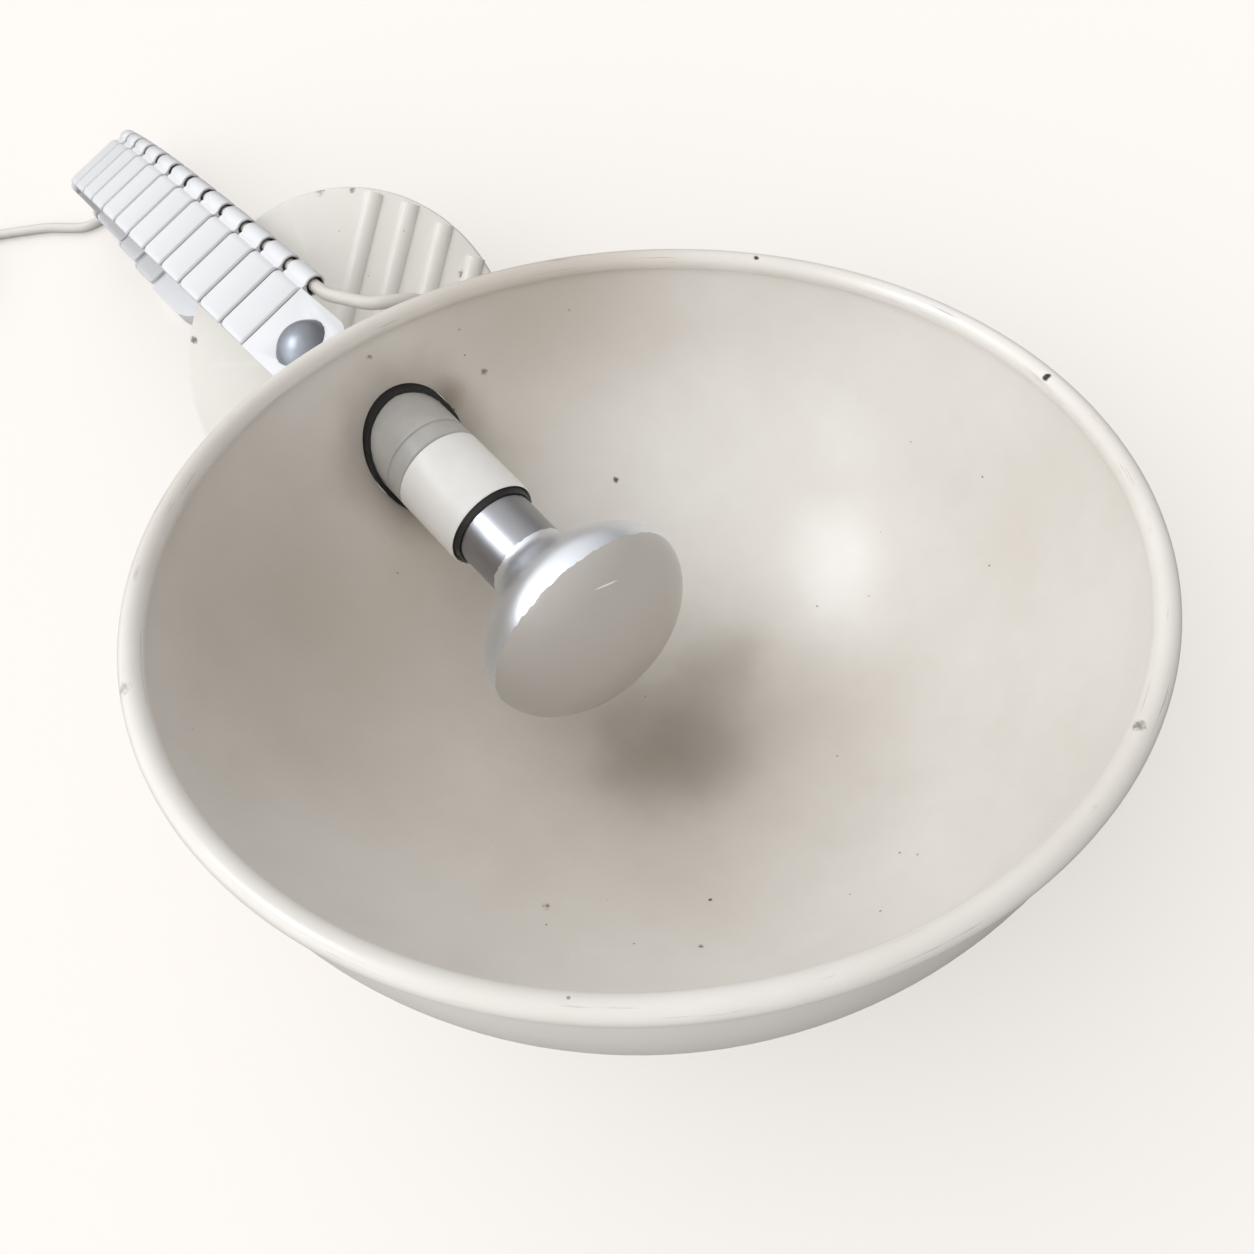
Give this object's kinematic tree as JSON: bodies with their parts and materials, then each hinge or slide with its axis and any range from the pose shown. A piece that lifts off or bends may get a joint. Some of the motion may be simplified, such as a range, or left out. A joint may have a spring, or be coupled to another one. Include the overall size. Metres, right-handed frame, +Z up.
{
  "type": "desk lamp",
  "caption": "Dome-shaded lamp with a reflector bulb on a folding arm of hinged links, with ball joints at the shade and at the ribbed round base.",
  "frame": {"origin": "on the flat underside of the wide part of the lower arm plate, midway across it", "axes": "+Z up from the floor the lamp lies on, +X along the folded arm from the fold towards the shade, +Y towards the side of the arm that carries the cable"},
  "size_m": [0.8822, 0.3925, 0.2236],
  "materials": {
    "arm_white": "satin",
    "disc_white": "satin",
    "shade_cream": "semi-gloss",
    "chrome": "polished",
    "holder_grey": "satin",
    "holder_cream": "satin",
    "black_rubber": "matte",
    "black_plastic": "matte",
    "brass": "plain",
    "bulb_glass": "frosted front, silvered back",
    "bulb_cap": "plain",
    "pin_metal": "plain",
    "plug_white": "satin",
    "cable_white": "satin"
  },
  "bodies": {
    "lower_plate": {"lower_arm_plate": "arm_white", "lower_socket_cover": "arm_white", "lead_cord": "cable_white", "cord_coil": "cable_white", "cord_tail": "cable_white", "plug_body": "plug_white", "plug_relief": "plug_white", "plug_pin_1": "pin_metal", "plug_pin_2": "pin_metal"},
    "link_16": {"arm_link_16": "arm_white"},
    "link_15": {"arm_link_15": "arm_white"},
    "link_14": {"arm_link_14": "arm_white"},
    "link_13": {"arm_link_13": "arm_white"},
    "link_12": {"arm_link_12": "arm_white"},
    "link_11": {"arm_link_11": "arm_white"},
    "link_10": {"arm_link_10": "arm_white"},
    "link_09": {"arm_link_09": "arm_white"},
    "link_08": {"arm_link_08": "arm_white"},
    "link_07": {"arm_link_07": "arm_white"},
    "link_06": {"arm_link_06": "arm_white", "arm_cable": "cable_white"},
    "link_05": {"arm_link_05": "arm_white"},
    "link_04": {"arm_link_04": "arm_white"},
    "link_03": {"arm_link_03": "arm_white"},
    "link_02": {"arm_link_02": "arm_white"},
    "link_01": {"arm_link_01": "arm_white"},
    "end_plate": {"upper_end_plate": "arm_white", "upper_socket_ring": "arm_white", "bridge_cable": "cable_white"},
    "shade_ball": {"upper_ball": "chrome"},
    "shade_head": {"holder_housing": "arm_white", "housing_cap": "arm_white", "cable_gland": "black_plastic"},
    "shade_dome": {"shade": "shade_cream", "hole_grommet": "black_rubber", "holder_cup": "holder_grey", "holder_sleeve": "holder_cream", "holder_insert": "black_plastic", "thread_shell": "brass", "centre_contact": "brass"},
    "bulb": {"bulb_glass": "bulb_glass", "bulb_screw_cap": "bulb_cap", "bulb_tip": "brass"},
    "base_ball": {"lower_ball": "chrome"},
    "base": {"base_disc": "disc_white", "base_boss": "disc_white"}
  },
  "joints": [
    {"name": "arm_hinge_17", "type": "hinge", "parent": "lower_plate", "child": "link_16", "pos_m": [-0.033, 0, 0.0042], "axis": [0, -1, 0], "range_deg": [-0.5, 3], "deforming": ["lead_cord"]},
    {"name": "arm_hinge_16", "type": "hinge", "parent": "link_16", "child": "link_15", "pos_m": [-0.05692, 0, 0.0042], "axis": [0, -1, 0], "range_deg": [-0.5, 3], "deforming": ["lead_cord"]},
    {"name": "arm_hinge_15", "type": "hinge", "parent": "link_15", "child": "link_14", "pos_m": [-0.08084, 0, 0.0042], "axis": [0, -1, 0], "range_deg": [-0.5, 36], "deforming": ["lead_cord"]},
    {"name": "arm_hinge_14", "type": "hinge", "parent": "link_14", "child": "link_13", "pos_m": [-0.10067, 0, 0.01758], "axis": [0, -1, 0], "range_deg": [-0.5, 65], "deforming": ["lead_cord"]},
    {"name": "arm_hinge_13", "type": "hinge", "parent": "link_13", "child": "link_12", "pos_m": [-0.09775, 0, 0.04132], "axis": [0, -1, 0], "range_deg": [-0.5, 60], "deforming": ["lead_cord"]},
    {"name": "arm_hinge_12", "type": "hinge", "parent": "link_12", "child": "link_11", "pos_m": [-0.07608, 0, 0.05143], "axis": [0, -1, 0], "range_deg": [-0.5, 4.6], "deforming": ["arm_cable"]},
    {"name": "arm_hinge_11", "type": "hinge", "parent": "link_11", "child": "link_10", "pos_m": [-0.05413, 0, 0.06093], "axis": [0, -1, 0], "range_deg": [-0.5, 5.5], "deforming": ["arm_cable"]},
    {"name": "arm_hinge_10", "type": "hinge", "parent": "link_10", "child": "link_09", "pos_m": [-0.03178, 0, 0.06947], "axis": [0, -1, 0], "range_deg": [-0.5, 5.3], "deforming": ["arm_cable"]},
    {"name": "arm_hinge_09", "type": "hinge", "parent": "link_09", "child": "link_08", "pos_m": [-0.00911, 0, 0.07711], "axis": [0, -1, 0], "range_deg": [-0.5, 5], "deforming": ["arm_cable"]},
    {"name": "arm_hinge_08", "type": "hinge", "parent": "link_08", "child": "link_07", "pos_m": [0.01381, 0, 0.08393], "axis": [0, -1, 0], "range_deg": [-0.5, 4.8], "deforming": ["arm_cable"]},
    {"name": "arm_hinge_07", "type": "hinge", "parent": "link_07", "child": "link_06", "pos_m": [0.03694, 0, 0.09003], "axis": [0, -1, 0], "range_deg": [-0.5, 4.6], "deforming": ["arm_cable"]},
    {"name": "arm_hinge_06", "type": "hinge", "parent": "link_06", "child": "link_05", "pos_m": [0.06023, 0, 0.0955], "axis": [0, -1, 0], "range_deg": [-0.5, 4.3], "deforming": ["arm_cable"]},
    {"name": "arm_hinge_05", "type": "hinge", "parent": "link_05", "child": "link_04", "pos_m": [0.08363, 0, 0.10043], "axis": [0, -1, 0], "range_deg": [-0.5, 4.1], "deforming": ["arm_cable"]},
    {"name": "arm_hinge_04", "type": "hinge", "parent": "link_04", "child": "link_03", "pos_m": [0.10713, 0, 0.10493], "axis": [0, -1, 0], "range_deg": [-0.5, 3.8], "deforming": ["arm_cable"]},
    {"name": "arm_hinge_03", "type": "hinge", "parent": "link_03", "child": "link_02", "pos_m": [0.13069, 0, 0.10907], "axis": [0, -1, 0], "range_deg": [-0.5, 3.6], "deforming": ["arm_cable"]},
    {"name": "arm_hinge_02", "type": "hinge", "parent": "link_02", "child": "link_01", "pos_m": [0.15429, 0, 0.11297], "axis": [0, -1, 0], "range_deg": [-0.5, 3.4], "deforming": ["arm_cable"]},
    {"name": "arm_hinge_01", "type": "hinge", "parent": "link_01", "child": "end_plate", "pos_m": [0.17791, 0, 0.11672], "axis": [0, -1, 0], "range_deg": [-0.5, 3], "deforming": ["bridge_cable"]},
    {"name": "shade_tilt", "type": "hinge", "parent": "end_plate", "child": "shade_ball", "pos_m": [0.2045, 0, 0.11818], "axis": [0, -1, 0], "range_deg": [-6, 25], "deforming": ["bridge_cable"]},
    {"name": "shade_swivel", "type": "hinge", "parent": "shade_ball", "child": "shade_head", "pos_m": [0.2045, 0, 0.11818], "axis": [0, -0.1719, 0.9851], "range_deg": [-35, 35], "deforming": ["bridge_cable"]},
    {"name": "shade_turn", "type": "hinge", "parent": "shade_head", "child": "shade_dome", "pos_m": [0.24942, 0.00403, 0.0834], "axis": [0.998, -0.0366, -0.0506], "range_deg": [-20, 45]},
    {"name": "bulb_out", "type": "slide", "parent": "shade_dome", "child": "bulb", "axis": [0.998, -0.0366, -0.0506], "range_m": [0, 0.028]},
    {"name": "base_tilt", "type": "hinge", "parent": "lower_plate", "child": "base_ball", "pos_m": [0.1427, 0, 0.0129], "axis": [0, 1, 0], "range_deg": [-5, 5]},
    {"name": "base_swivel", "type": "hinge", "parent": "base_ball", "child": "base", "pos_m": [0.1427, 0, 0.0129], "axis": [0.3908, -0.2336, 0.8903], "range_deg": [-30, 30]}
  ]
}
